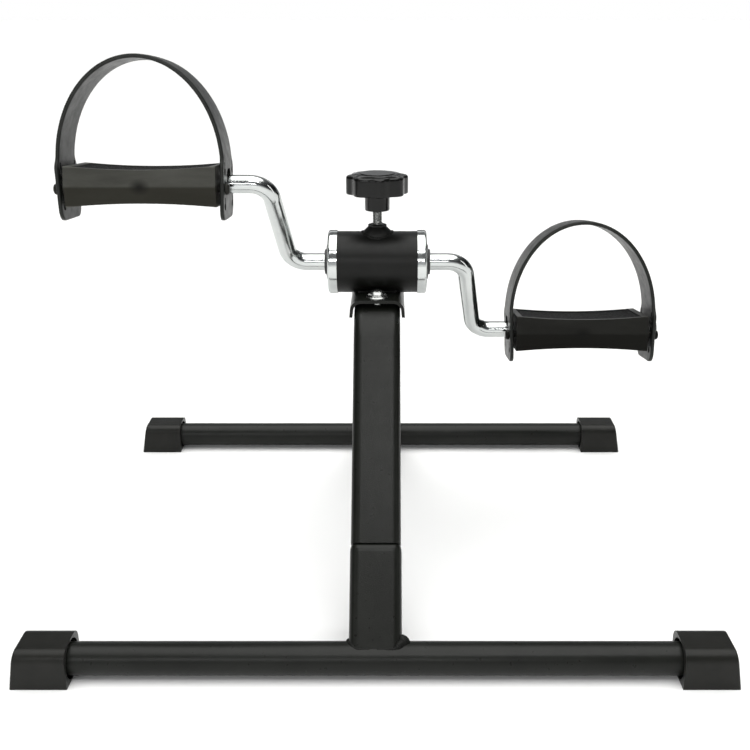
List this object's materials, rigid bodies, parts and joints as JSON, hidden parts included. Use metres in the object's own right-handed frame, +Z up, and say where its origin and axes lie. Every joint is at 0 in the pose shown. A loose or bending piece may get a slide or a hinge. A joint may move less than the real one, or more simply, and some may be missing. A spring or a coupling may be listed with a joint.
{
  "type": "pedal exerciser",
  "caption": "Desk or floor pedal exerciser: arched leg tube on two floor bars, friction drum with tension knob, bent crank and pedals with foot straps.",
  "frame": {"origin": "on the floor under the drum, midway between the two floor bars and midway along them", "axes": "+X along the crank axis towards the right pedal, +Y from the front floor bar to the rear one, +Z up"},
  "size_m": [0.515, 0.44, 0.42],
  "materials": {
    "powder_coat": "satin black powder coat",
    "black_rubber_feet": "satin moulded black rubber",
    "chrome": "polished chrome plate",
    "zinc": "bright zinc plate",
    "dark_screw": "black oxide, semi-gloss",
    "bush_plastic": "plain black nylon",
    "brake_metal": "turned steel",
    "brake_pad": "pressed friction material",
    "knob_plastic": "glossy black moulding",
    "pedal_plastic": "semi-matte black moulding",
    "tread_rubber": "ribbed matte rubber",
    "strap_rubber": "semi-gloss moulded rubber"
  },
  "bodies": {
    "frame": {"front_base_tube": "powder_coat", "rear_base_tube": "powder_coat", "front_stub_tube": "powder_coat", "rear_stub_tube": "powder_coat", "front_left_foot": "black_rubber_feet", "front_right_foot": "black_rubber_feet", "rear_left_foot": "black_rubber_feet", "rear_right_foot": "black_rubber_feet", "arch_tube": "powder_coat", "leg_screws": "dark_screw", "saddle_bracket": "powder_coat", "saddle_bolts": "zinc", "saddle_washers": "zinc", "saddle_nuts": "zinc", "drum_housing": "powder_coat", "adjuster_weld_nut": "powder_coat", "left_drum_cap": "chrome", "right_drum_cap": "chrome", "left_crank_bush": "bush_plastic", "right_crank_bush": "bush_plastic"},
    "crank": {"crank_rod": "chrome", "brake_sleeve": "brake_metal", "left_end_disc": "pedal_plastic", "right_end_disc": "pedal_plastic"},
    "brake_shoe": {"brake_shoe": "brake_pad"},
    "knob": {"tension_screw": "zinc", "tension_knob": "knob_plastic", "knob_cap": "knob_plastic"},
    "left_pedal": {"left_pedal_body": "pedal_plastic", "left_pedal_treads": "tread_rubber", "left_pedal_bushes": "bush_plastic", "left_strap_pegs": "pedal_plastic", "left_strap": "strap_rubber"},
    "right_pedal": {"right_pedal_body": "pedal_plastic", "right_pedal_treads": "tread_rubber", "right_pedal_bushes": "bush_plastic", "right_strap_pegs": "pedal_plastic", "right_strap": "strap_rubber"}
  },
  "joints": [
    {"name": "crank_spin", "type": "hinge", "parent": "frame", "child": "crank", "pos_m": [0, 0, 0.255], "axis": [1, 0, 0], "continuous": true},
    {"name": "left_pedal_spin", "type": "hinge", "parent": "crank", "child": "left_pedal", "pos_m": [-0.17, -0.03602, 0.32419], "axis": [1, 0, 0], "continuous": true},
    {"name": "right_pedal_spin", "type": "hinge", "parent": "crank", "child": "right_pedal", "pos_m": [0.17, 0.03602, 0.18581], "axis": [1, 0, 0], "continuous": true},
    {"name": "shoe_slide", "type": "slide", "parent": "frame", "child": "brake_shoe", "axis": [0, 0, 1], "range_m": [-0.0005, 0.003]},
    {"name": "knob_turn", "type": "hinge", "parent": "brake_shoe", "child": "knob", "pos_m": [0, 0, 0.3], "axis": [0, 0, 1], "range_deg": [-145, 865]}
  ],
  "couplings": [
    {"joint": "knob_turn", "follows": "shoe_slide", "rad_per_m": 5026.5}
  ]
}
